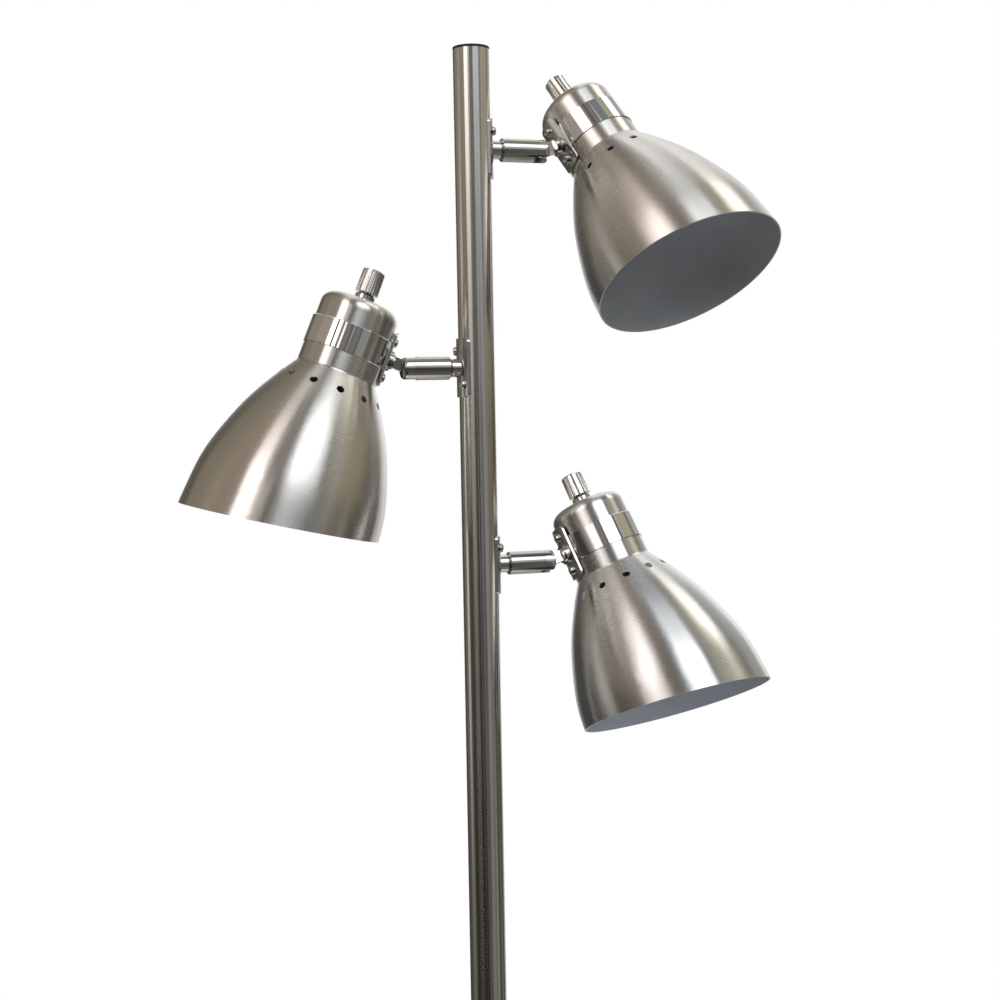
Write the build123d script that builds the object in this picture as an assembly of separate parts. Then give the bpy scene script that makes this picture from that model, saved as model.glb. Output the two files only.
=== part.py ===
"""Tree floor lamp: weighted round base, sectional pole and three swivelling bell heads.

Millimetres. +Z is up and the origin is the centre of the base on the floor. The upper and lower arms
point along +X, the middle arm along -X, and the front of the lamp faces -Y.
"""

from build123d import *
import math
import os

os.makedirs("parts", exist_ok=True)

# ---- clearances ----
SEAT = 0.1  # between curved faces that seat on each other
RUNNING = 0.05  # radial, a shaft in its bore
SIDE_PLAY = 0.3  # between faces that move past each other

# ---- pole ----
POLE_R = 11.0
POLE_WALL = 1.0
TOP_SECTION = 356.0
LOWER_SECTION = 411.5
LOWER_COUNT = 3
SLEEVE_WALL = 3.0
SLEEVE_LENGTH = 50.0
PLUG_DEPTH = 8.0
PLUG_DISC = 1.5
PLUG_DOME = 0.8

# ---- base ----
COVER_R = 127.0
COVER_WALL = 1.2
COVER_TOP = 24.0
COVER_EDGE_R = 8.0
COVER_CROWN = 7.0  # rise from the rounded edge to the flat middle
COVER_SLOPE = 4.5
COVER_LIFT = 1.0
PAD_T = 2.0
PAD_INSET = 2.0
WEIGHT_T = 12.5
WEIGHT_INSET = 2.0
WEIGHT_BOSS_R = 26.0
NUT_POCKET_R = 16.0
NUT_POCKET_DEPTH = 7.0
STUD_R = 5.0
STUD_BORE_R = 3.0
STUD_UP = 26.0
NUT_FLATS = 17.0
NUT_FLANGE_R = 11.0
NUT_FLANGE_T = 1.4
NUT_HEX_T = 4.2
COLLAR_FOOT_R = 18.0
COLLAR_FOOT_T = 3.0
COLLAR_R = 14.0
COLLAR_H = 10.0
COLLAR_SPIGOT = 24.0
GROMMET_Z = 5.6
GROMMET_R = 3.1
GROMMET_BORE_R = 2.2
GROMMET_FLANGE = 1.0
GROMMET_FLANGE_T = 1.2

# ---- arms ----
UPPER_DROP = 58.0
MIDDLE_DROP = 188.0
LOWER_RISE = 49.0  # the lower arm above the lower end of the top section
LOWER_DROP = TOP_SECTION - LOWER_RISE
PLATE_T = 1.2
PLATE_LENGTH = 35.0
PLATE_WIDTH = 18.0
PLATE_CORNER_R = 2.5
PLATE_SCREW_HALF = 10.2
PLATE_SCREW_ANGLE = 27.0
SCREW_R = 1.5
SCREW_HOLE_PLAY = 0.2
SCREW_LENGTH = 5.6
SCREW_HEAD_R = 2.8
SCREW_HEAD_T = 1.9
CROSS_LENGTH = 3.2
CROSS_WIDTH = 0.7
CROSS_DEPTH = 0.8
HUB_TAIL_R = 4.0
HUB_TAIL_LENGTH = 4.3
HUB_NECK_R = 5.5
HUB_NECK = 4.1
HUB_BORE_R = 2.2
SPIGOT_R = 4.0
FLARE_R = 4.8
FLARE_T = 1.2
BARREL_R = 7.0
BARREL_LENGTH = 30.3
BARREL_END_WALL = 3.0
BARREL_CAVITY_R = 5.2
BARREL_CHAMFER = 1.2
NOSE_R = 3.0
HINGE_FROM_NOSE = 4.4
TONGUE_T = 5.0
TONGUE_R = 4.2
TONGUE_TIP_PLAY = 0.8
TONGUE_NECK_HALF = 3.4
RIVET_R = 1.8
RIVET_FIT = 0.02
RIVET_HEAD_R = 3.0
RIVET_SINK = 1.8  # seat of the rivet's heads below the round of the barrel, where they end flush

# ---- lamp head: x points away from the arm, z towards the knob, z = 0 at the band's lower edge ----
PIVOT_REACH = 39.1
PIVOT_RISE = 7.55
CAP_R = 23.5
CAP_WALL = 0.8
CAP_FOOT = 8.0
CAP_TOP = 34.2
CAP_EDGE_R = 7.0
CAP_CROWN = 0.8  # rise from the rounded edge to the flat middle
CAP_SLOPE = 6.0
BAND_R = 24.8
BAND_H = 16.5
BAND_CHAMFER = 0.3
SHADE_WALL = 0.8
NECK_R = 24.2
NECK_LENGTH = 10.8
RIM_DEPTH = 104.0
RIM_SLANT = 9.0
BELL_CROWN = [(24.5, -11.6), (33.05, -24.7), (42.58, -42.0), (50.65, -62.3)]
BELL_SKIRT = [(56.18, 21.3), (57.9, 4.0), (58.64, -9.2), (58.9, -18.0)]  # heights from the rim's centre
BELL = BELL_CROWN + [(radius, height - RIM_DEPTH) for radius, height in BELL_SKIRT]
VENT_R = 2.3
VENT_COUNT = 12
VENT_Z = -21.5
VENT_SURFACE_R = 31.0
VENT_LEAN = 33.0
HEAD_PLATE_WIDTH = 17.0
HEAD_PLATE_LENGTH = 33.0
HEAD_SCREW_HALF = 11.0
FLANGE_R = 6.2
FLANGE_T = 1.6
STEP_R = 4.6
STEP_T = 1.5
KNUCKLE_TAIL_R = 2.5
SOCKET_R = 17.0
SOCKET_NECK = 3.4
SOCKET_MOUTH = -24.0
SOCKET_FLOOR = 4.0
SOCKET_NECK_R = 9.0
SHELL_R = 13.3
SHELL_WALL = 1.0
SHELL_INSET = 2.0
CONTACT_R = 5.0
CONTACT_T = 1.2
CONTACT_GAP = 0.3
BUSH_R = 4.8
BUSH_UP = 4.4
NUT_R = 6.0
NUT_T = 3.4
KNOB_R = 6.9
KNOB_TAPER = 0.2
KNOB_GAP = 0.6
KNOB_LENGTH = 14.0
KNOB_CHAMFER = 0.6
FLUTE_R = 0.5
FLUTE_COUNT = 24
SPINDLE_R = 2.0
SPINDLE_LENGTH = 24.0

# ---- each head: side, drop, turn of the barrel, tilt of the head, turn of the vent ring ----
HEADS = {
    "upper": (1, UPPER_DROP, -31.0, 21.0, 0.0),
    "middle": (-1, MIDDLE_DROP, 0.0, 22.3, 0.0),
    "lower": (1, LOWER_DROP, -22.0, 17.0, -15.0),
}

# ---- derived places ----
POLE_SEAT = COVER_TOP + COLLAR_H
POLE_TOP = POLE_SEAT + LOWER_COUNT * LOWER_SECTION + TOP_SECTION
POLE_BORE_R = POLE_R - POLE_WALL
COVER_SKIRT = COVER_TOP - COVER_CROWN - COVER_EDGE_R
WEIGHT_R = COVER_R - COVER_EDGE_R - WEIGHT_INSET
PLATE_IN_R = POLE_R + SEAT
PLATE_OUT_R = PLATE_IN_R + PLATE_T
HUB_NECK_END = PLATE_OUT_R + HUB_NECK
BARREL_START = HUB_NECK_END + SIDE_PLAY
BARREL_END = BARREL_START + BARREL_LENGTH
HINGE_X = BARREL_END - HINGE_FROM_NOSE
SLOT_START = HINGE_X - TONGUE_R - TONGUE_TIP_PLAY
SLOT_HALF = TONGUE_T / 2 + SIDE_PLAY
HEAD_PLATE_IN_R = BAND_R + SEAT
HEAD_PLATE_OUT_R = HEAD_PLATE_IN_R + PLATE_T
CAP_SKIRT = CAP_TOP - CAP_CROWN - CAP_EDGE_R
CAP_CEILING = CAP_TOP - CAP_WALL
SOCKET_TOP = CAP_CEILING - SOCKET_NECK
KNOB_Z = CAP_TOP + BUSH_UP + KNOB_GAP
FAR = 400.0  # longer than any cutter needs to be

ALONG_X = Rotation(0, 90, 0)
ALONG_Y = Rotation(-90, 0, 0)
FROM_BELOW = (Align.CENTER, Align.CENTER, Align.MIN)
FROM_ABOVE = (Align.CENTER, Align.CENTER, Align.MAX)


def rod(radius, low, high):
    """Solid cylinder on Z from low to high."""
    return Pos(0, 0, low) * Cylinder(radius, high - low, align=FROM_BELOW)


def tube(outer, inner, low, high):
    """Hollow cylinder on Z."""
    return rod(outer, low, high) - rod(inner, low - 1, high + 1)


def turned(points):
    """Solid turned about Z from a closed outline of (radius, height) points."""
    outline = Wire.make_polygon([(r, 0, z) for r, z in points], close=True)
    return revolve(Face(outline), Axis.Z)


def drawn_dome(radius, edge_r, skirt, slope, top, foot, inset):
    """Solid of a drawn cover: straight skirt, rounded edge, sloping top and flat centre, all set in."""
    lean = math.radians(slope)
    half = math.radians((90 - slope) / 2)
    round_r = edge_r - inset
    centre_r = radius - edge_r
    side = radius - inset
    crown = top - inset
    shoulder_r = centre_r + round_r * math.sin(lean)
    shoulder_z = skirt + round_r * math.cos(lean)
    flat_r = shoulder_r - (crown - shoulder_z) / math.tan(lean)
    middle = (centre_r + round_r * math.cos(half), 0, skirt + round_r * math.sin(half))
    outline = [
        Line((0, 0, foot), (side, 0, foot)),
        Line((side, 0, foot), (side, 0, skirt)),
        ThreePointArc((side, 0, skirt), middle, (shoulder_r, 0, shoulder_z)),
        Line((shoulder_r, 0, shoulder_z), (flat_r, 0, crown)),
        Line((flat_r, 0, crown), (0, 0, crown)),
        Line((0, 0, crown), (0, 0, foot)),
    ]
    return revolve(Face(Wire(outline)), Axis.Z)


def saddle(inner, width, length):
    """Curved plate with rounded corners on the +X side of a cylinder on Z."""
    blank = Plane.YZ * RectangleRounded(width, length, PLATE_CORNER_R)
    return tube(inner + PLATE_T, inner, -length, length) & extrude(blank, amount=inner + 2 * PLATE_T)


def pan_screw():
    """Pan head screw on X, its head outside and the plane under the head at x = 0."""
    head = turned([
        (0, 0), (SCREW_HEAD_R, 0), (SCREW_HEAD_R, SCREW_HEAD_T * 0.45),
        (SCREW_HEAD_R * 0.86, SCREW_HEAD_T * 0.8), (SCREW_HEAD_R * 0.5, SCREW_HEAD_T), (0, SCREW_HEAD_T),
    ])
    screw = head + rod(SCREW_R, -SCREW_LENGTH, 0.1)
    for turn in (0, 90):
        bar = Pos(0, 0, SCREW_HEAD_T) * Box(CROSS_LENGTH, CROSS_WIDTH, 2 * CROSS_DEPTH)
        screw -= Rotation(0, 0, turn) * bar
    return ALONG_X * screw


def write(name, shape):
    """Write one node; its solids stay separate."""
    shape.label = name
    export_step(shape, "parts/" + name + ".step")


# ---- pole ----
def pole_screw_places():
    """Angle and height of the two pole plate screws, measured from the arm."""
    return [(-PLATE_SCREW_ANGLE, PLATE_SCREW_HALF), (PLATE_SCREW_ANGLE, -PLATE_SCREW_HALF)]


def arm_place(name):
    """Frame of one arm: x along the arm, z up, origin on the pole's axis."""
    side, drop = HEADS[name][:2]
    return Plane(origin=(0, 0, POLE_TOP - drop), x_dir=(side, 0, 0), z_dir=(0, 0, 1)).location


def build_pole():
    """Pole sections from the base up, their sleeves and the plug in the top."""
    for number in range(LOWER_COUNT):
        low = POLE_SEAT + number * LOWER_SECTION
        high = low + LOWER_SECTION
        write("pole_section_" + str(number + 1), tube(POLE_R, POLE_BORE_R, low, high))
        sleeve_r = POLE_BORE_R - SEAT
        sleeve = tube(sleeve_r, sleeve_r - SLEEVE_WALL, high - SLEEVE_LENGTH / 2, high + SLEEVE_LENGTH / 2)
        write("pole_sleeve_" + str(number + 1), sleeve)
    top = tube(POLE_R, POLE_BORE_R, POLE_TOP - TOP_SECTION, POLE_TOP)
    for name in HEADS:
        cuts = ALONG_X * rod(HUB_TAIL_R + SEAT, 0, 2 * POLE_R)
        for angle, height in pole_screw_places():
            hole = Pos(0, 0, height) * Rotation(0, 0, angle) * ALONG_X
            cuts += hole * rod(SCREW_R + SCREW_HOLE_PLAY, POLE_R / 2, 2 * POLE_R)
        top -= arm_place(name) * cuts
    write("pole_section_" + str(LOWER_COUNT + 1), top)
    disc_top = POLE_TOP + PLUG_DISC
    cap = turned([
        (0, POLE_TOP - PLUG_DEPTH), (POLE_BORE_R - SEAT, POLE_TOP - PLUG_DEPTH),
        (POLE_BORE_R - SEAT, POLE_TOP),
        (POLE_R, POLE_TOP), (POLE_R, disc_top), (POLE_R * 0.6, disc_top + PLUG_DOME * 0.7),
        (0, disc_top + PLUG_DOME),
    ])
    write("pole_top_cap", cap)


# ---- base ----
def build_base():
    """Pad, weight, cover, collar, stud, nut and the bushing where the supply enters."""
    weight_top = PAD_T + WEIGHT_T
    pocket_top = PAD_T + NUT_POCKET_DEPTH
    stud_hole_r = STUD_R + SEAT
    write("base_pad", rod(WEIGHT_R - PAD_INSET, 0, PAD_T))
    weight = rod(WEIGHT_R, PAD_T, weight_top) + rod(WEIGHT_BOSS_R, PAD_T, COVER_TOP - COVER_WALL)
    weight -= rod(NUT_POCKET_R, 0, pocket_top)
    weight -= rod(stud_hole_r, 0, COVER_TOP)
    write("base_weight", weight)
    form = (COVER_R, COVER_EDGE_R, COVER_SKIRT, COVER_SLOPE, COVER_TOP)
    cover = drawn_dome(*form, COVER_LIFT, 0) - drawn_dome(*form, COVER_LIFT - 1, COVER_WALL)
    cover -= rod(stud_hole_r, 0, 2 * COVER_TOP)
    inlet = Pos(0, 0, GROMMET_Z) * ALONG_Y
    cover -= inlet * rod(GROMMET_R + SEAT, COVER_R - COVER_EDGE_R, COVER_R + 2)
    write("base_cover", cover)
    inside = COVER_R - COVER_WALL
    flange_r = GROMMET_R + GROMMET_FLANGE
    grommet = rod(GROMMET_R, inside - GROMMET_FLANGE_T - SEAT, COVER_R + GROMMET_FLANGE_T)
    grommet += rod(flange_r, COVER_R, COVER_R + GROMMET_FLANGE_T)
    grommet += rod(flange_r, inside - GROMMET_FLANGE_T - SEAT, inside - SEAT)
    grommet -= rod(GROMMET_BORE_R, 0, 2 * COVER_R)
    write("cord_grommet", inlet * grommet)
    spigot_r = POLE_BORE_R - SEAT
    collar = turned([
        (0, COVER_TOP), (COLLAR_FOOT_R, COVER_TOP), (COLLAR_FOOT_R, COVER_TOP + COLLAR_FOOT_T),
        (COLLAR_R, COVER_TOP + COLLAR_FOOT_T + 1), (COLLAR_R, POLE_SEAT), (spigot_r, POLE_SEAT),
        (spigot_r, POLE_SEAT + COLLAR_SPIGOT), (0, POLE_SEAT + COLLAR_SPIGOT),
    ])
    write("base_collar", collar - rod(stud_hole_r, 0, 2 * POLE_SEAT + COLLAR_SPIGOT))
    nut_top = pocket_top
    hex_top = nut_top - NUT_FLANGE_T
    nut = rod(NUT_FLANGE_R, hex_top, nut_top)
    hexagon = RegularPolygon(NUT_FLATS / 2, 6, major_radius=False)
    nut += Pos(0, 0, hex_top - NUT_HEX_T) * extrude(hexagon, amount=NUT_HEX_T)
    write("base_nut", nut - rod(stud_hole_r, 0, COVER_TOP))
    write("base_stud", tube(STUD_R, STUD_BORE_R, hex_top - NUT_HEX_T, COVER_TOP + STUD_UP))


# ---- arm ----
def build_arm(name):
    """Pole plate, screws and hub, and the turning barrel with its rivet."""
    place = arm_place(name)
    turn = place * Rotation(HEADS[name][2], 0, 0)
    plate = saddle(PLATE_IN_R, PLATE_WIDTH, PLATE_LENGTH)
    plate -= ALONG_X * rod(HUB_TAIL_R + SEAT, 0, 2 * PLATE_OUT_R)
    screws = []
    for angle, height in pole_screw_places():
        spot = Pos(0, 0, height) * Rotation(0, 0, angle)
        plate -= spot * ALONG_X * rod(SCREW_R + SCREW_HOLE_PLAY, 0, 2 * PLATE_OUT_R)
        screws.append(place * spot * Pos(PLATE_OUT_R, 0, 0) * pan_screw())
    write(name + "_pole_plate", place * plate)
    write(name + "_pole_screws", Compound(children=screws))

    hub = rod(HUB_NECK_R, 0, HUB_NECK_END)
    hub = ALONG_X * hub - rod(PLATE_OUT_R + RUNNING, -FAR / 2, FAR / 2)
    shaft = rod(HUB_TAIL_R, PLATE_OUT_R - HUB_TAIL_LENGTH, HUB_NECK_END)
    flare_start = BARREL_START + BARREL_END_WALL + SIDE_PLAY
    shaft += rod(SPIGOT_R, HUB_NECK_END - 1, flare_start + FLARE_T)
    shaft += rod(FLARE_R, flare_start, flare_start + FLARE_T)
    hub += ALONG_X * shaft
    hub -= ALONG_X * rod(HUB_BORE_R, 0, FAR)
    write(name + "_arm_hub", place * hub)

    nose_z = BARREL_END - NOSE_R
    nose_r = BARREL_R - NOSE_R
    bend = math.sqrt(0.5) * NOSE_R
    outline = [
        Line((0, 0, BARREL_START), (BARREL_R - BARREL_CHAMFER, 0, BARREL_START)),
        Line((BARREL_R - BARREL_CHAMFER, 0, BARREL_START), (BARREL_R, 0, BARREL_START + BARREL_CHAMFER)),
        Line((BARREL_R, 0, BARREL_START + BARREL_CHAMFER), (BARREL_R, 0, nose_z)),
        ThreePointArc((BARREL_R, 0, nose_z), (nose_r + bend, 0, nose_z + bend), (nose_r, 0, BARREL_END)),
        Line((nose_r, 0, BARREL_END), (0, 0, BARREL_END)),
        Line((0, 0, BARREL_END), (0, 0, BARREL_START)),
    ]
    barrel = revolve(Face(Wire(outline)), Axis.Z)
    barrel -= rod(SPIGOT_R + RUNNING, 0, BARREL_END - NOSE_R)
    barrel -= rod(BARREL_CAVITY_R, BARREL_START + BARREL_END_WALL, SLOT_START)
    barrel = ALONG_X * barrel
    slot_length = BARREL_END - SLOT_START + 1
    barrel -= Pos(SLOT_START + slot_length / 2, 0, 0) * Box(slot_length, 2 * SLOT_HALF, 3 * BARREL_R)
    hinge = Pos(HINGE_X, 0, 0) * ALONG_Y
    barrel -= hinge * rod(RIVET_R + RIVET_FIT, -2 * BARREL_R, 2 * BARREL_R)
    seat = BARREL_R - RIVET_SINK
    rivet = rod(RIVET_R, -seat, seat) + rod(RIVET_HEAD_R, seat, 2 * BARREL_R)
    rivet += rod(RIVET_HEAD_R, -2 * BARREL_R, -seat)
    rivet &= ALONG_X * rod(BARREL_R, -2 * BARREL_R, 2 * BARREL_R)
    barrel -= hinge * rod(RIVET_HEAD_R + SEAT, seat, 2 * BARREL_R)
    barrel -= hinge * rod(RIVET_HEAD_R + SEAT, -2 * BARREL_R, -seat)
    write(name + "_arm_barrel", turn * barrel)
    write(name + "_hinge_rivet", turn * hinge * rivet)


# ---- head ----
def head_place(name):
    """Frame of one head, from the hinge at its rest turn and tilt."""
    turn, tilt = HEADS[name][2:4]
    hinge = arm_place(name) * Rotation(turn, 0, 0) * Pos(HINGE_X, 0, 0)
    return hinge * Rotation(0, -tilt, 0) * Pos(PIVOT_REACH, 0, -PIVOT_RISE)


def shade_solid(vent_turn):
    """Bell with its neck and spigot, vent holes and slanted rim."""
    outer = Spline([(r, 0, z) for r, z in BELL])
    inner_points = []
    for step in range(13):
        spot = outer.position_at(step / 12)
        along = outer.tangent_at(step / 12)
        inner_points.append((spot.X + SHADE_WALL * along.Z, 0, spot.Z - SHADE_WALL * along.X))
    inner_points.reverse()
    inner = Spline(inner_points)
    outer_top = (BELL[0][0], 0, BELL[0][1])
    outer_end = (BELL[-1][0], 0, BELL[-1][1])
    path = [
        inner_points[-1], (NECK_R - SHADE_WALL, 0, -NECK_LENGTH), (NECK_R - SHADE_WALL, 0, 0),
        (CAP_R - SHADE_WALL, 0, 0), (CAP_R - SHADE_WALL, 0, CAP_FOOT), (CAP_R, 0, CAP_FOOT), (CAP_R, 0, 0),
        (NECK_R, 0, 0), (NECK_R, 0, -NECK_LENGTH), outer_top,
    ]
    outline = [outer, Line(outer_end, inner_points[0]), inner]
    for start, end in zip(path, path[1:]):
        outline.append(Line(start, end))
    shade = revolve(Face(Wire(outline)), Axis.Z)
    slant = math.radians(RIM_SLANT)
    below = Plane(
        origin=(0, 0, -RIM_DEPTH), x_dir=(math.cos(slant), 0, -math.sin(slant)),
        z_dir=(math.sin(slant), 0, math.cos(slant)),
    )
    shade -= below.location * Box(FAR, FAR, FAR, align=FROM_ABOVE)
    vent = Pos(VENT_SURFACE_R, 0, VENT_Z) * Rotation(0, 90 - VENT_LEAN, 0) * Cylinder(VENT_R, 8 * SHADE_WALL)
    for number in range(VENT_COUNT):
        shade -= Rotation(0, 0, vent_turn + number * 360 / VENT_COUNT) * vent
    return shade


def build_head(name):
    """Everything carried by the hinge, and the knob."""
    place = head_place(name)
    facing = Rotation(0, 0, 180)  # the arm is on the head's -X side
    screw_holes = []
    screws = []
    plate = Pos(0, 0, PIVOT_RISE) * saddle(HEAD_PLATE_IN_R, HEAD_PLATE_WIDTH, HEAD_PLATE_LENGTH)
    for height in (PIVOT_RISE - HEAD_SCREW_HALF, PIVOT_RISE + HEAD_SCREW_HALF):
        level = Pos(0, 0, height)
        screw_holes.append(level * ALONG_X * rod(SCREW_R + SCREW_HOLE_PLAY, CAP_R / 2, 2 * BAND_R))
        screws.append(place * facing * level * Pos(HEAD_PLATE_OUT_R, 0, 0) * pan_screw())
    for hole in screw_holes:
        plate -= hole
    hinge_level = Pos(0, 0, PIVOT_RISE) * ALONG_X
    plate -= hinge_level * rod(KNUCKLE_TAIL_R + SEAT, 0, 2 * BAND_R)
    write(name + "_head_plate", place * facing * plate)
    write(name + "_head_screws", Compound(children=screws))

    flange_out = HEAD_PLATE_OUT_R + FLANGE_T
    step_out = flange_out + STEP_T
    knuckle = rod(FLANGE_R, BAND_R, flange_out) + rod(STEP_R, BAND_R, step_out)
    knuckle = hinge_level * knuckle - rod(HEAD_PLATE_OUT_R + RUNNING, -FAR / 2, FAR / 2)
    knuckle += hinge_level * rod(KNUCKLE_TAIL_R, HEAD_PLATE_IN_R, flange_out)
    neck = PIVOT_REACH - flange_out
    middle = Pos(PIVOT_REACH - neck / 2, 0, PIVOT_RISE)
    knuckle += middle * Box(neck, TONGUE_T, 2 * TONGUE_NECK_HALF)
    eye = Pos(PIVOT_REACH, 0, PIVOT_RISE) * ALONG_Y
    knuckle += eye * rod(TONGUE_R, -TONGUE_T / 2, TONGUE_T / 2)
    knuckle -= eye * rod(RIVET_R + RUNNING, -TONGUE_T, TONGUE_T)
    write(name + "_knuckle", place * facing * knuckle)

    form = (CAP_R, CAP_EDGE_R, CAP_SKIRT, CAP_SLOPE, CAP_TOP)
    cap = drawn_dome(*form, CAP_FOOT, 0) - drawn_dome(*form, CAP_FOOT - 1, CAP_WALL)
    cap -= rod(BUSH_R + SEAT, 0, 2 * CAP_TOP)
    shade = shade_solid(HEADS[name][4])
    for hole in screw_holes:
        cap -= facing * hole
        shade -= facing * hole
    write(name + "_cap", place * cap)
    write(name + "_shade", place * shade)
    band_in = CAP_R + SEAT
    band = turned([
        (band_in, 0), (BAND_R - BAND_CHAMFER, 0), (BAND_R, BAND_CHAMFER), (BAND_R, BAND_H - BAND_CHAMFER),
        (BAND_R - BAND_CHAMFER, BAND_H), (band_in, BAND_H),
    ])
    write(name + "_band", place * band)

    shell_out = SHELL_R + SHELL_WALL
    socket = rod(SOCKET_R, SOCKET_MOUTH, SOCKET_TOP) + rod(SOCKET_NECK_R, SOCKET_TOP - 1, CAP_CEILING)
    socket += rod(BUSH_R, SOCKET_TOP, CAP_TOP + BUSH_UP)
    socket -= rod(shell_out + SEAT, SOCKET_MOUTH - 1, SOCKET_FLOOR)
    socket -= rod(SPINDLE_R + RUNNING, KNOB_Z - SPINDLE_LENGTH - 1, 2 * CAP_TOP)
    write(name + "_socket_body", place * socket)
    contact_face = SOCKET_FLOOR - CONTACT_T
    shell = tube(shell_out, SHELL_R, SOCKET_MOUTH + SHELL_INSET, contact_face - CONTACT_GAP)
    contact = rod(CONTACT_R, contact_face, SOCKET_FLOOR)
    write(name + "_socket_contacts", Compound(children=[place * shell, place * contact]))
    write(name + "_switch_nut", place * tube(NUT_R, BUSH_R + SEAT, CAP_TOP, CAP_TOP + NUT_T))

    knob_top = KNOB_Z + KNOB_LENGTH
    tip_r = KNOB_R - KNOB_TAPER
    knob = turned([
        (0, KNOB_Z), (KNOB_R, KNOB_Z), (tip_r, knob_top - KNOB_CHAMFER), (tip_r - KNOB_CHAMFER, knob_top),
        (0, knob_top),
    ])
    flute_top = knob_top - 2 * KNOB_CHAMFER
    for number in range(FLUTE_COUNT):
        turn = Rotation(0, 0, number * 360 / FLUTE_COUNT)
        knob -= turn * Pos(KNOB_R + FLUTE_R * 0.5, 0, 0) * rod(FLUTE_R, KNOB_Z - 1, flute_top)
    knob += rod(SPINDLE_R, KNOB_Z - SPINDLE_LENGTH, KNOB_Z + 1)
    write(name + "_knob", place * knob)


build_pole()
build_base()
for head_name in HEADS:
    build_arm(head_name)
    build_head(head_name)
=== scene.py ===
import math

import bpy
from mathutils import Matrix, Vector

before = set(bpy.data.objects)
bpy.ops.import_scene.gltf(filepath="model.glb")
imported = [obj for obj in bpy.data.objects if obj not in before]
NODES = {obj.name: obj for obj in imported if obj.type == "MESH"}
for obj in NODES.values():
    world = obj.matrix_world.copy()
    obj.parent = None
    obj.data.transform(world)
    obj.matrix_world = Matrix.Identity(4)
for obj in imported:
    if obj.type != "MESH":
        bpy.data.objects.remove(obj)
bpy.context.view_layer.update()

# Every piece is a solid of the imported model, dressed here. The rest is the camera, the studio and the floor.
Z = Vector((0, 0, 1))
FOOT = Vector((0, 0, 0))  # on the pole's axis, on the floor

# ---- where the three heads sit (metres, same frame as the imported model) ----
POLE_TOP = 1.6245
HINGE_X = 0.0426  # from the pole's axis out to the hinge
PIVOT_REACH = 0.0391  # from the hinge out to the shade's axis
PIVOT_RISE = 0.00755  # height of the hinge above the head's origin
# side of the pole, drop of the arm below the pole's top, swivel and tilt at rest in degrees
HEADS = {
    "upper": (1, 0.058, -31.0, 21.0),
    "middle": (-1, 0.188, 0.0, 22.3),
    "lower": (1, 0.307, -22.0, 17.0),
}


def head_frame(name):
    """Origin on the shade's axis, the axis itself, and the way out from the arm."""
    side, drop, swivel, tilt = HEADS[name]
    swivel, tilt = math.radians(swivel), math.radians(tilt)
    arm = Vector((side, 0, 0))
    swung = math.cos(swivel) * Z + math.sin(swivel) * arm.cross(Z)
    out = math.cos(tilt) * arm + math.sin(tilt) * swung
    axis = -math.sin(tilt) * arm + math.cos(tilt) * swung
    hinge = Vector((side * HINGE_X, 0, POLE_TOP - drop))
    return hinge + PIVOT_REACH * out - PIVOT_RISE * axis, axis, out


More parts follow.
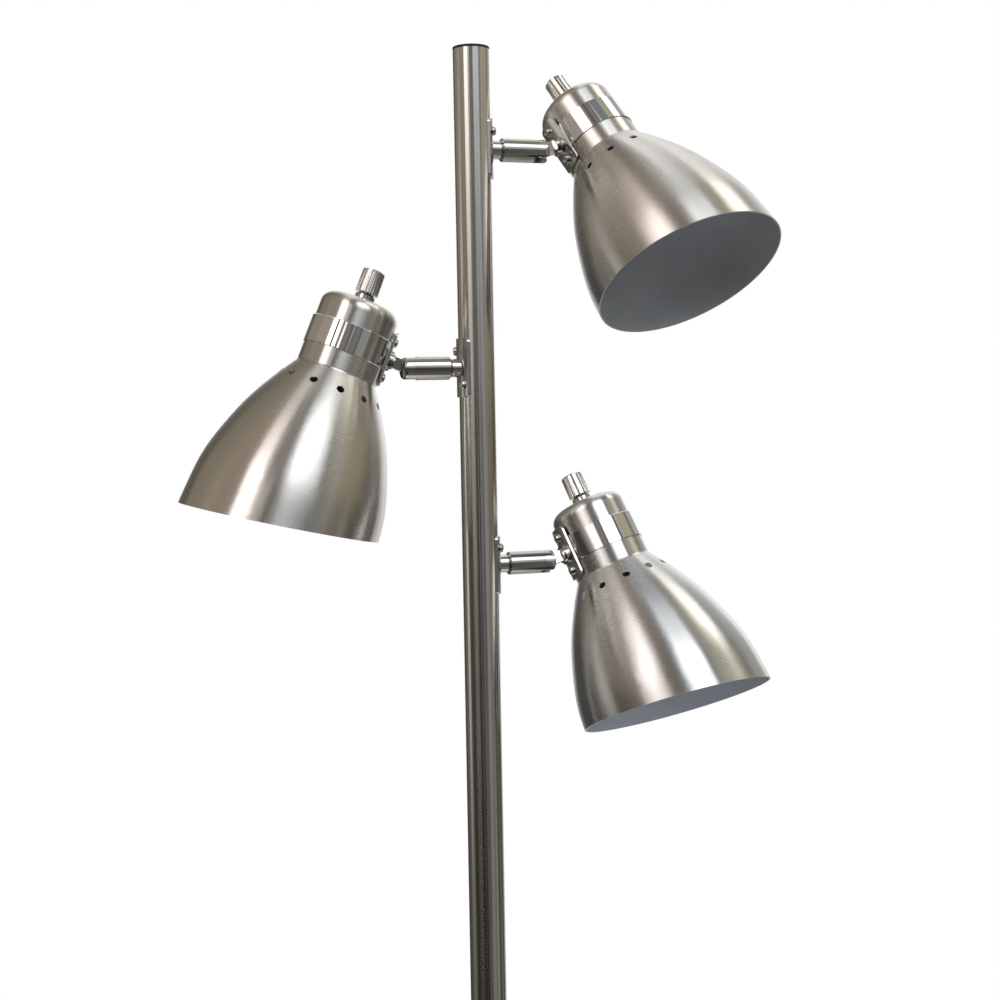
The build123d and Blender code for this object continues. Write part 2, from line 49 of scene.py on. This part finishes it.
# ---- node helpers ----
class Net:
    """A node tree that is written as plain expressions. An input is a number, a vector or another output."""

    def __init__(self, tree):
        self.tree = tree
        self.output = None
        tree.nodes.clear()

    def plug(self, socket, value):
        if isinstance(value, bpy.types.NodeSocket):
            self.tree.links.new(value, socket)
        else:
            socket.default_value = tuple(value) if isinstance(value, Vector) else value

    def add(self, kind, ins=None, **attrs):
        node = self.tree.nodes.new(kind)
        for key, value in attrs.items():
            setattr(node, key, value)
        for key, value in (ins or {}).items():
            self.plug(node.inputs[key], value)
        return node

    def feed(self, shader, **ins):
        for key, value in ins.items():
            self.plug(shader.inputs[key.replace("_", " ")], value)

    def math(self, op, *args):
        return self.add("ShaderNodeMath", dict(enumerate(args)), operation=op).outputs[0]

    def plus(self, a, b):
        return self.math("ADD", a, b)

    def minus(self, a, b):
        return self.math("SUBTRACT", a, b)

    def times(self, a, b):
        return self.math("MULTIPLY", a, b)

    def larger(self, a, b):
        return self.math("MAXIMUM", a, b)

    def between(self, share, a, b):
        """The number a where share is 0, and b where it is 1."""
        return self.plus(self.times(a, self.minus(1.0, share)), self.times(share, b))

    def vec(self, op, *args):
        node = self.add("ShaderNodeVectorMath", dict(enumerate(args)), operation=op)
        return node.outputs["Value" if op in ("DOT_PRODUCT", "LENGTH") else "Vector"]

    def dot(self, a, b):
        return self.vec("DOT_PRODUCT", a, b)

    def scaled(self, vector, factor):
        node = self.add("ShaderNodeVectorMath", {0: vector, "Scale": factor}, operation="SCALE")
        return node.outputs["Vector"]

    def remap(self, value, low, high, to_low=0.0, to_high=1.0, smooth=False):
        kind = "SMOOTHSTEP" if smooth else "LINEAR"
        ins = {0: value, 1: low, 2: high, 3: to_low, 4: to_high}
        return self.add("ShaderNodeMapRange", ins, interpolation_type=kind).outputs[0]

    def spread(self, noise, to_low=0.0, to_high=1.0):
        """A noise lies mostly between 0.3 and 0.7; this stretches it from to_low to to_high."""
        return self.remap(noise, 0.3, 0.7, to_low, to_high)

    def noise(self, vector, scale=1.0, detail=3.0, rough=0.55):
        ins = {"Vector": vector, "Scale": scale, "Detail": detail, "Roughness": rough}
        return self.add("ShaderNodeTexNoise", ins).outputs[0]

    def mix(self, factor, a, b):
        """The colour a where factor is 0, and b where it is 1."""
        node = self.add("ShaderNodeMix", data_type="RGBA")
        for index, value in ((0, factor), (6, a), (7, b)):
            self.plug(node.inputs[index], value)
        return node.outputs[2]

    def ramp(self, factor, stops):
        node = self.add("ShaderNodeValToRGB", {0: factor})
        points = node.color_ramp.elements
        while len(points) > 1:
            points.remove(points[-1])
        points[0].position, points[0].color = stops[0][0], (*stops[0][1], 1)
        for place, colour in stops[1:]:
            points.new(place).color = (*colour, 1)
        return node.outputs[0]

    def around(self, point, origin, axis):
        """Where a point is, seen from an axis: from the origin to it, its height along the axis, and its
        way from the axis."""
        from_origin = self.vec("SUBTRACT", point, origin)
        along = self.dot(from_origin, axis)
        return from_origin, along, self.vec("SUBTRACT", from_origin, self.scaled(axis, along))

    def bump(self, height, distance):
        ins = {"Height": height, "Strength": 1.0, "Distance": distance}
        return self.add("ShaderNodeBump", ins).outputs[0]


def material(name):
    mat = bpy.data.materials.new(name)
    mat.use_nodes = True
    net = Net(mat.node_tree)
    shader = net.add("ShaderNodeBsdfPrincipled")
    net.output = net.add("ShaderNodeOutputMaterial", {"Surface": shader.outputs[0]})
    return mat, net, shader


def dress(mat, *nodes):
    for node in nodes:
        for slot in NODES[node].material_slots:
            slot.material = mat


# ---- brushed nickel ----
LINE_PITCH = 0.0006  # finest brush lines
LINE_LENGTH = 0.045
BROAD_PITCH = 4 * LINE_PITCH
BROAD_LENGTH = 0.080
FLARE = 0.8  # share of the radius that counts as way down the profile, so lines stay even on a flare
CLOUD_SCALE = 22.0
LINES_BRIGHTEN, CLOUDS_BRIGHTEN = (0.99, 1.008), (0.98, 1.02)
LINES_ROUGHEN, CLOUDS_ROUGHEN = (0.985, 1.015), (0.97, 1.04)
SCUFFED_AREAS = 30.0, 0.56, 0.62  # scale of the areas, and the noise at which one begins and is full
SCUFF_STRETCH = (60.0, 60.0, 14.0)
SCUFF_WIDTH = 0.012
SCUFF_TONE, SCUFF_COVER = (0.95, 0.93, 0.9, 1), 0.35
SCUFF_ROUGHNESS = 0.12
PAINT_PEEL_SCALE, PAINT_PEEL_HEIGHT = 900.0, 2.0
PAINT_DUST_SCALE = 35.0
PAINT_ROUGHNESS = 0.40, 0.48
INWARD = -0.30, -0.20  # paint starts where the surface turns towards the axis
RIM_END = -0.85, -0.75  # and covers the rim's end, which looks down the axis


def scuffs(net, point, origin):
    """Few thin curved scratches, as a mask."""
    rings = net.noise(net.vec("MULTIPLY", net.vec("SUBTRACT", point, origin), SCUFF_STRETCH), 1.0, 1.0)
    from_line = net.math("ABSOLUTE", net.minus(rings, 0.5))
    scale, begins, full = SCUFFED_AREAS
    few = net.remap(net.noise(point, scale, 1.0), begins, full, smooth=True)
    return net.times(net.remap(from_line, 0.0, SCUFF_WIDTH, 1.0, 0.0, smooth=True), few)


def painted_side(net, normal, outward, axis):
    """A mask of the surface that faces the axis, and of the rim's end."""
    inside = net.remap(net.dot(normal, outward), *INWARD, 1.0, 0.0)
    rim = net.remap(net.dot(normal, axis), *RIM_END, 1.0, 0.0)
    return net.larger(inside, rim)


def brushed(name, origin, axis, colour, size, rough, aniso, depth=0.0003, seed=0.0, paint_tones=None,
            scuffed=False):
    """Nickel plate brushed round an axis, on a piece of about the radius size. The marks' height is depth
    times their pitch. With paint tones, the side that faces the axis has satin paint."""
    mat, net, shader = material(name)
    where = net.add("ShaderNodeTexCoord")
    point, normal = where.outputs["Object"], where.outputs["Normal"]
    along, radial = net.around(point, origin, axis)[1:]
    outward = net.vec("NORMALIZE", radial)
    profile_way = net.vec("CROSS_PRODUCT", net.vec("CROSS_PRODUCT", axis, outward), normal)
    tangent = net.add("ShaderNodeVectorTransform", {0: profile_way}, vector_type="VECTOR",
                      convert_from="OBJECT", convert_to="WORLD")
    down_profile = net.minus(along, net.times(net.vec("LENGTH", radial), FLARE))

    def streaks(pitch, length, detail, shift):
        lines = net.scaled(axis, net.times(down_profile, 1 / pitch))
        place = net.vec("ADD", net.scaled(outward, size / length), lines)
        place = net.vec("ADD", place, (seed + shift, shift, 0.7 * shift))
        return net.noise(place, 1.0, detail)

    fine = streaks(LINE_PITCH, LINE_LENGTH, 1.0, 0.0)
    broad = streaks(BROAD_PITCH, BROAD_LENGTH, 2.0, 7.3)
    lines = net.plus(net.times(fine, 0.5), net.times(broad, 0.5))
    cloud = net.noise(net.vec("ADD", point, (seed, 0.0, 0.0)), CLOUD_SCALE, 3.0)
    bright = net.times(net.spread(lines, *LINES_BRIGHTEN), net.spread(cloud, *CLOUDS_BRIGHTEN))
    grain = net.times(net.spread(lines, *LINES_ROUGHEN), net.spread(cloud, *CLOUDS_ROUGHEN))
    tone = net.scaled(colour, bright)
    shine = net.times(grain, rough)
    height = lines
    metallic = 1.0
    if scuffed:
        scuff = scuffs(net, point, origin)
        tone = net.mix(net.times(scuff, SCUFF_COVER), tone, SCUFF_TONE)
        shine = net.plus(shine, net.times(scuff, SCUFF_ROUGHNESS))
    if paint_tones:
        paint = painted_side(net, normal, outward, axis)
        peel = net.noise(point, PAINT_PEEL_SCALE, 2.0)
        dust = net.noise(point, PAINT_DUST_SCALE, 4.0)
        tone = net.mix(paint, tone, net.mix(net.spread(dust), *paint_tones))
        shine = net.between(paint, shine, net.spread(dust, *PAINT_ROUGHNESS))
        height = net.between(paint, height, net.times(peel, PAINT_PEEL_HEIGHT))
        metallic = net.minus(1.0, paint)
    net.feed(shader, Base_Color=tone, Metallic=metallic, Roughness=shine, Anisotropic=aniso,
             Normal=net.bump(height, LINE_PITCH * depth), Tangent=tangent.outputs[0])
    return mat


# ---- polished plate ----
RIPPLE_SCALE, RIPPLE_HEIGHT = 160.0, 0.000004
MARKS_SCALE, MARKS_STRETCH, MARKS_HEIGHT = 420.0, (1.0, 1.0, 9.0), 0.25  # height in ripple heights
MARKS_BRIGHTEN = 0.94, 1.04
HAZE_SCALE = 90.0
HAZE_ROUGHENS = 0.35, 0.7, 0.75, 1.5  # noise from and to, and how many times rougher there
SEAM_EDGES = 0.012, 0.022  # radians either side of the seam: dark up to the first, clear from the second
SEAM_TONE, SEAM_ROUGHNESS = (0.03, 0.03, 0.03, 1), 0.4
SEAM_DEPTH = 20.0  # in ripple heights
WAVES_ROUND = 6.0


def polished(name, colour, rough, seed=0.0, seam=None, wavy=0.0):
    """Plated metal with a bright surface: faint polishing marks, finger haze and a slight ripple. A band
    wrapped from strip also has its seam (origin, axis, direction of 0 degrees, angle), and may be wavy round
    the axis, by so many ripple heights."""
    mat, net, shader = material(name)
    here = net.add("ShaderNodeTexCoord").outputs["Object"]
    point = net.vec("ADD", here, (seed, seed * 0.3, 0.0))
    haze = net.noise(point, HAZE_SCALE, 4.0, 0.6)
    marks = net.noise(net.vec("MULTIPLY", point, MARKS_STRETCH), MARKS_SCALE, 3.0)
    ripple = net.noise(point, RIPPLE_SCALE, 2.0)
    tone = net.scaled(colour, net.spread(marks, *MARKS_BRIGHTEN))
    shine = net.times(net.remap(haze, *HAZE_ROUGHENS), rough)
    height = net.plus(net.times(marks, MARKS_HEIGHT), ripple)
    if seam:
        origin, axis, start, seam_angle = seam
        from_origin, _, radial = net.around(here, origin, axis)
        if wavy:
            round_axis = net.scaled(net.vec("NORMALIZE", radial), WAVES_ROUND)
            waves = net.noise(net.vec("ADD", round_axis, (seed, 0.0, 0.0)), 1.0, 1.0)
            height = net.plus(height, net.times(waves, wavy))
        turned = net.math("ARCTAN2", net.dot(from_origin, axis.cross(start)), net.dot(from_origin, start))
        from_seam = net.math("ABSOLUTE", net.minus(turned, math.radians(seam_angle)))
        gap = net.remap(from_seam, *SEAM_EDGES, 1.0, 0.0, smooth=True)
        tone = net.mix(gap, tone, SEAM_TONE)
        shine = net.plus(shine, net.times(gap, SEAM_ROUGHNESS))
        height = net.minus(height, net.times(gap, SEAM_DEPTH))
    net.feed(shader, Base_Color=tone, Metallic=1.0, Roughness=shine, Normal=net.bump(height, RIPPLE_HEIGHT))
    return mat


# ---- everything else ----
GRIT_FINER, GRIT_HEIGHT = 12, 0.3
ROUGH_SPREAD = 0.15


def plain(name, low, high, rough, scale, metallic=0.0, bump_mm=0.02):
    """Plastic, rubber, casting, zinc or brass: two tones of one colour, broken up at a stated scale."""
    mat, net, shader = material(name)
    point = net.add("ShaderNodeTexCoord").outputs["Object"]
    coarse = net.noise(point, scale, 4.0, 0.6)
    grit = net.noise(point, scale * GRIT_FINER, 2.0)
    both = net.plus(net.times(coarse, 0.5), net.times(grit, 0.5))
    height = net.plus(coarse, net.times(grit, GRIT_HEIGHT))
    shine = net.spread(both, rough * (1 - ROUGH_SPREAD), rough * (1 + ROUGH_SPREAD))
    net.feed(shader, Base_Color=net.mix(net.spread(coarse), (*low, 1), (*high, 1)), Metallic=metallic,
             Roughness=shine, Normal=net.bump(height, bump_mm / 1000))
    return mat


# ---- which piece has which finish ----
NICKEL = (0.80, 0.775, 0.745)
WARM_NICKEL = (0.79, 0.76, 0.73)
COOL_NICKEL = (0.77, 0.765, 0.76)
BRIGHT = (0.86, 0.84, 0.82)
# bright nickel darkened for the small fittings: painted shade for their dark look between glints
SHADED_BRIGHT = (0.70, 0.68, 0.66)
PLATE_NICKEL = (0.68, 0.66, 0.63)
# nickel darkened for the arm barrels: painted shade standing in for the dark reflections along them
SHADED_NICKEL = (0.54, 0.52, 0.50)
CHROME = (0.93, 0.93, 0.945)
GREY_PAINT = (0.42, 0.44, 0.47, 1), (0.49, 0.51, 0.54, 1)
# the same satin paint as the other heads, lighter and bluer: painted light where the lower head's inside
# catches more light
PAINT_WITH_PAINTED_BLUE_LIGHT = (0.57, 0.62, 0.69, 1), (0.64, 0.69, 0.76, 1)

# radius, roughness, how one-way the brushing is, height of the marks
POLE_FINISH = dict(size=0.011, rough=0.165, aniso=0.97, depth=0.0002)
COVER_FINISH = dict(size=0.08, rough=0.34, aniso=0.9)
SHADE_FINISH = dict(size=0.045, rough=0.27, aniso=0.95)
CAP_FINISH = dict(size=0.023, rough=0.25, aniso=0.94)
BARREL_FINISH = dict(size=0.007, rough=0.13, aniso=0.5, depth=0.0006)
POLE_PLATE_FINISH = dict(size=0.012, rough=0.20, aniso=0.6, depth=0.0006)
HEAD_PLATE_FINISH = dict(size=0.025, rough=0.20, aniso=0.6, depth=0.0006)
COLLAR_ROUGH, KNOB_ROUGH, SMALL_ROUGH, BAND_ROUGH = 0.12, 0.10, 0.11, 0.05

# nickel, paint inside the shade, scuffed or not, the band's seam in degrees and its waves
LOOKS = {
    "upper": (WARM_NICKEL, GREY_PAINT, True, 178.0, 0.0),
    "middle": (WARM_NICKEL, GREY_PAINT, False, 59.0, 90.0),
    # the lower head's inside has the lighter, bluer paint tones: painted light on the same paint
    "lower": (COOL_NICKEL, PAINT_WITH_PAINTED_BLUE_LIGHT, False, 178.0, 0.0),
}
SEED_STEP = 1.7  # so that no two heads have the same marks
SMALL_PIECES = "pole_screws", "head_screws", "hinge_rivet", "switch_nut", "knuckle", "arm_hub"

dress(brushed("pole_nickel", FOOT, Z, NICKEL, **POLE_FINISH),
      "pole_section_1", "pole_section_2", "pole_section_3", "pole_section_4")
dress(brushed("cover_nickel", FOOT, Z, NICKEL, **COVER_FINISH, seed=3.0), "base_cover")
dress(polished("collar_nickel", BRIGHT, COLLAR_ROUGH), "base_collar")
dress(plain("zinc", (0.55, 0.56, 0.57), (0.68, 0.69, 0.68), 0.35, 300.0, metallic=1.0),
      "pole_sleeve_1", "pole_sleeve_2", "pole_sleeve_3", "base_stud", "base_nut")
dress(plain("iron", (0.05, 0.05, 0.05), (0.10, 0.10, 0.10), 0.6, 120.0, bump_mm=0.15), "base_weight")
dress(plain("foam_rubber", (0.025, 0.025, 0.025), (0.05, 0.05, 0.05), 0.85, 500.0, bump_mm=0.1), "base_pad")
dress(plain("black_plastic", (0.012, 0.012, 0.013), (0.022, 0.022, 0.024), 0.4, 350.0),
      "pole_top_cap", "cord_grommet")
phenolic = plain("phenolic", (0.02, 0.018, 0.017), (0.04, 0.035, 0.033), 0.3, 250.0)
brass = plain("brass", (0.70, 0.52, 0.24), (0.82, 0.64, 0.33), 0.28, 260.0, metallic=1.0)

for index, name in enumerate(HEADS):
    origin, axis, out = head_frame(name)
    side, drop = HEADS[name][:2]
    nickel, paint, scuffed, seam_angle, wavy = LOOKS[name]
    seed = SEED_STEP * index
    arm_start, arm_way = Vector((0, 0, POLE_TOP - drop)), Vector((side, 0, 0))
    dress(brushed(name + "_shade_nickel", origin, axis, nickel, **SHADE_FINISH, seed=seed, paint_tones=paint,
                  scuffed=scuffed), name + "_shade")
    dress(brushed(name + "_cap_nickel", origin, axis, nickel, **CAP_FINISH, seed=seed + 0.9), name + "_cap")
    seam = origin, axis, out, seam_angle
    band = polished(name + "_band_chrome", CHROME, BAND_ROUGH, seed, seam, wavy)
    dress(band, name + "_band")
    dress(polished(name + "_knob_nickel", BRIGHT, KNOB_ROUGH, seed), name + "_knob")
    small = polished(name + "_small_nickel", SHADED_BRIGHT, SMALL_ROUGH, seed + 0.4)
    dress(small, *(f"{name}_{piece}" for piece in SMALL_PIECES))
    dress(brushed(name + "_barrel_nickel", arm_start, arm_way, SHADED_NICKEL, **BARREL_FINISH, seed=seed),
          name + "_arm_barrel")
    dress(brushed(name + "_pole_plate_nickel", FOOT, Z, PLATE_NICKEL, **POLE_PLATE_FINISH, seed=seed + 5),
          name + "_pole_plate")
    dress(brushed(name + "_head_plate_nickel", origin, axis, NICKEL, **HEAD_PLATE_FINISH, seed=seed + 6),
          name + "_head_plate")
    dress(phenolic, name + "_socket_body")
    dress(brass, name + "_socket_contacts")

# ---- camera ----
CAMERA_PLACE = (-0.25906, -0.86840, 1.41268)
FOCAL_LENGTH, SENSOR_WIDTH = 54, 36  # millimetres
NEAREST, FARTHEST = 0.05, 60
YAW, PITCH, ROLL = math.radians(17.4004), math.radians(3.5428), math.radians(1.0340)
ahead = Vector((math.sin(YAW) * math.cos(PITCH), math.cos(YAW) * math.cos(PITCH), -math.sin(PITCH)))
level_right = Vector((math.cos(YAW), -math.sin(YAW), 0))
level_down = ahead.cross(level_right)
image_right = math.cos(ROLL) * level_right + math.sin(ROLL) * level_down
image_down = -math.sin(ROLL) * level_right + math.cos(ROLL) * level_down
lens = bpy.data.cameras.new("camera")
lens.lens = FOCAL_LENGTH
lens.sensor_width = SENSOR_WIDTH
lens.clip_start = NEAREST
lens.clip_end = FARTHEST
camera = bpy.data.objects.new("camera", lens)
bpy.context.scene.collection.objects.link(camera)
aimed = Matrix((image_right, -image_down, -ahead)).transposed().to_4x4()
camera.matrix_world = Matrix.Translation(CAMERA_PLACE) @ aimed
bpy.context.scene.camera = camera

# ---- studio: a white backdrop behind the lamp, tall soft panels and darker gaps around it ----
# Angles around the lamp are in degrees: 0 is towards the camera, 90 to its right, 180 the backdrop's middle.
world = bpy.data.worlds.new("studio")
bpy.context.scene.world = world
world.use_nodes = True
net = Net(world.node_tree)
BACK = Vector((-0.299, -0.954, 0.0))
RIGHT = Vector((0.954, -0.299, 0.0))
way = net.add("ShaderNodeTexCoord").outputs["Generated"]
bearing = net.math("ARCTAN2", net.dot(way, RIGHT), net.dot(way, BACK))
turn = net.plus(net.times(bearing, 0.5 / math.pi), 0.5)
angle = net.times(bearing, 180 / math.pi)
rise = net.times(net.math("ARCSINE", net.dot(way, Z)), 180 / math.pi)


def walls(bands, blur=2.5):
    """Bands as (from angle, colour), each running to the next one's start. The ramp takes 16 at most."""
    stops = [(0.0, bands[0][1])]
    for start, colour in bands[1:]:
        place = (start + 180) / 360
        stops.append((max(place - blur / 360, stops[-1][0] + 1e-4), stops[-1][1]))
        stops.append((place + blur / 360, colour))
    stops.append((1.0, stops[-1][1]))
    return net.ramp(turn, stops)


def span(value, start, stop, soft):
    """1 between start and stop, with soft ends."""
    into = net.remap(value, start - soft, start + soft, smooth=True)
    return net.times(into, net.remap(value, stop - soft, stop + soft, 1.0, 0.0, smooth=True))


def panel(under, around, height, colour, soft=3.0, soft_height=6.0):
    """A soft light panel: from one angle to another, and from one elevation to another."""
    shape = net.times(span(angle, *around, soft), span(rise, *height, soft_height))
    return net.mix(shape, under, (*colour, 1))


high = walls([
    (-180, (0.70, 0.70, 0.69)), (-166, (0.20, 0.195, 0.17)), (-150, (0.12, 0.11, 0.085)),
    (-128, (0.25, 0.22, 0.17)), (-90, (0.31, 0.265, 0.205)), (-60, (0.32, 0.28, 0.24)),
    (-18, (0.125, 0.105, 0.09)), (-7, (0.20, 0.18, 0.16)), (5, (0.10, 0.10, 0.09)),
    (10, (0.19, 0.195, 0.19)), (58, (0.36, 0.355, 0.32)), (72, (0.37, 0.34, 0.24)),
    (106, (0.20, 0.185, 0.15)), (119, (0.38, 0.38, 0.36)), (145, (1.0, 1.0, 1.0)),
])
low = walls([
    (-180, (0.60, 0.60, 0.59)), (-158, (0.07, 0.07, 0.07)), (-124, (0.16, 0.145, 0.11)),
    (-90, (0.13, 0.12, 0.10)), (-76, (0.045, 0.042, 0.034)), (-45, (0.10, 0.095, 0.085)),
    (-18, (0.03, 0.03, 0.027)), (-3, (0.20, 0.20, 0.21)), (1, (0.03, 0.03, 0.04)),
    (9, (0.12, 0.12, 0.12)), (16, (0.06, 0.06, 0.06)), (36, (0.24, 0.235, 0.22)),
    (60, (0.12, 0.105, 0.08)), (106, (0.055, 0.05, 0.035)), (138, (0.42, 0.42, 0.41)),
    (150, (0.70, 0.70, 0.69)),
], blur=1.5)
deep = walls([
    (-180, (0.14, 0.14, 0.13)), (-165, (0.06, 0.06, 0.055)), (-110, (0.10, 0.095, 0.08)),
    (-70, (0.015, 0.014, 0.012)), (-45, (0.006, 0.006, 0.005)), (-12, (0.012, 0.012, 0.010)),
    (16, (0.07, 0.068, 0.055)), (36, (0.17, 0.16, 0.15)), (58, (0.14, 0.135, 0.11)),
    (70, (0.28, 0.28, 0.26)), (82, (0.06, 0.06, 0.055)), (106, (0.16, 0.16, 0.15)),
    (119, (0.07, 0.07, 0.06)), (140, (0.45, 0.45, 0.44)),
])
# elevations in degrees over which one ring of walls gives way to the next
LOW_TO_HIGH = -3, 9
DEEP_TO_LOW = -20, -8
HIGH_TO_CEILING = 68, 84
CEILING = (0.50, 0.50, 0.48, 1)
light = net.mix(net.remap(rise, *LOW_TO_HIGH, smooth=True), low, high)
light = net.mix(net.remap(rise, *DEEP_TO_LOW, smooth=True), deep, light)
light = net.mix(net.remap(rise, *HIGH_TO_CEILING, smooth=True), light, CEILING)
light = panel(light, (-99, -81), (-12, 7), (0.62, 0.60, 0.57))
light = panel(light, (-27, -11), (14, 26), (1.2, 1.15, 1.15), soft_height=3.0)
light = panel(light, (-47, -24), (12, 50), (2.6, 2.38, 2.28))
light = panel(light, (10, 46), (10, 28), (0.60, 0.64, 0.65), soft_height=3.0)
light = panel(light, (10, 52), (28, 57), (2.6, 2.72, 2.8), soft_height=4.0)
light = panel(light, (55, 61), (28, 50), (0.09, 0.09, 0.09), soft=1.5)
light = panel(light, (96, 122), (40, 63), (2.7, 2.65, 2.45), soft_height=4.0)

# the backdrop: seen white by the camera, and in metal or glass only where it stands
BACKDROP_RIGHT = 146, 150
BACKDROP_LEFT = -160, -164
BACKDROP_FOOT = -4, 2
WHITE = (1, 1, 1, 1)
ray = net.add("ShaderNodeLightPath").outputs
across = net.larger(net.remap(angle, *BACKDROP_RIGHT), net.remap(angle, *BACKDROP_LEFT))
backdrop = net.times(across, net.remap(rise, *BACKDROP_FOOT))
mirrored = net.times(net.larger(ray["Is Glossy Ray"], ray["Is Transmission Ray"]), backdrop)
seen_white = net.larger(ray["Is Camera Ray"], mirrored)
lit = net.add("ShaderNodeBackground", {"Color": net.mix(seen_white, light, WHITE), "Strength": 1.0})
net.add("ShaderNodeOutputWorld", {"Surface": lit.outputs[0]})


def soft_lamp(name, place, aim, size, watts):
    """A round soft lamp that no reflection shows."""
    data = bpy.data.lights.new(name, "AREA")
    data.shape = "DISK"
    data.size = size
    data.energy = watts
    lamp = bpy.data.objects.new(name, data)
    bpy.context.scene.collection.objects.link(lamp)
    lamp.location = place
    lamp.rotation_mode = "QUATERNION"
    lamp.rotation_quaternion = (Vector(aim) - Vector(place)).to_track_quat("-Z", "Y")
    lamp.visible_camera = False
    lamp.visible_glossy = False


soft_lamp("key", (-1.9, -2.3, 3.1), (0, 0, 0.9), 1.6, 22)
soft_lamp("fill", (2.3, -1.9, 2.4), (0, 0, 0.9), 1.8, 12)
soft_lamp("top", (0.2, 0.6, 3.4), (0, 0, 0.0), 2.0, 18)
soft_lamp("bounce", (0.3, -0.8, 0.2), (0, 0, 1.4), 1.0, 6)

# ---- floor: a pale round sheet that fades into the backdrop ----
FLOOR_RADIUS = 0.8
FADE = 0.25, 0.75
FLOOR_TONES = (0.78, 0.78, 0.78, 1), (0.82, 0.82, 0.82, 1)
FLOOR_GLOW = 0.32  # only for rays that show the floor, so it stays pale and lights nothing
PAPER_SCALE = 3.0
RINGS, AROUND = 24, 96
verts = [(0.0, 0.0, 0.0)]
for ring in range(1, RINGS + 1):
    radius = FLOOR_RADIUS * ring / RINGS
    for step in range(AROUND):
        part_turn = 2 * math.pi * step / AROUND
        verts.append((radius * math.cos(part_turn), radius * math.sin(part_turn), 0.0))
faces = [(0, 1 + step, 1 + (step + 1) % AROUND) for step in range(AROUND)]
for ring in range(RINGS - 1):
    inner, outer = 1 + ring * AROUND, 1 + (ring + 1) * AROUND
    for step in range(AROUND):
        after = (step + 1) % AROUND
        faces.append((inner + step, outer + step, outer + after, inner + after))
sheet = bpy.data.meshes.new("floor")
sheet.from_pydata(verts, [], faces)
floor = bpy.data.objects.new("floor", sheet)
bpy.context.scene.collection.objects.link(floor)
paper, net, shader = material("floor_paper")
spot = net.add("ShaderNodeTexCoord").outputs["Object"]
ray = net.add("ShaderNodeLightPath").outputs
shown = net.larger(net.larger(ray["Is Camera Ray"], ray["Is Glossy Ray"]), ray["Is Transmission Ray"])
net.feed(shader, Base_Color=net.mix(net.noise(spot, PAPER_SCALE, 2.0), *FLOOR_TONES), Roughness=0.8,
         Specular_IOR_Level=0.0, Emission_Color=WHITE, Emission_Strength=net.times(shown, FLOOR_GLOW))
clear = net.add("ShaderNodeBsdfTransparent")
edge = net.remap(net.vec("LENGTH", spot), *FADE, smooth=True)
faded = net.add("ShaderNodeMixShader", {0: edge, 1: shader.outputs[0], 2: clear.outputs[0]})
net.plug(net.output.inputs["Surface"], faded.outputs[0])
sheet.materials.append(paper)

scene = bpy.context.scene
scene.view_settings.view_transform = "Standard"

bpy.context.view_layer.update()
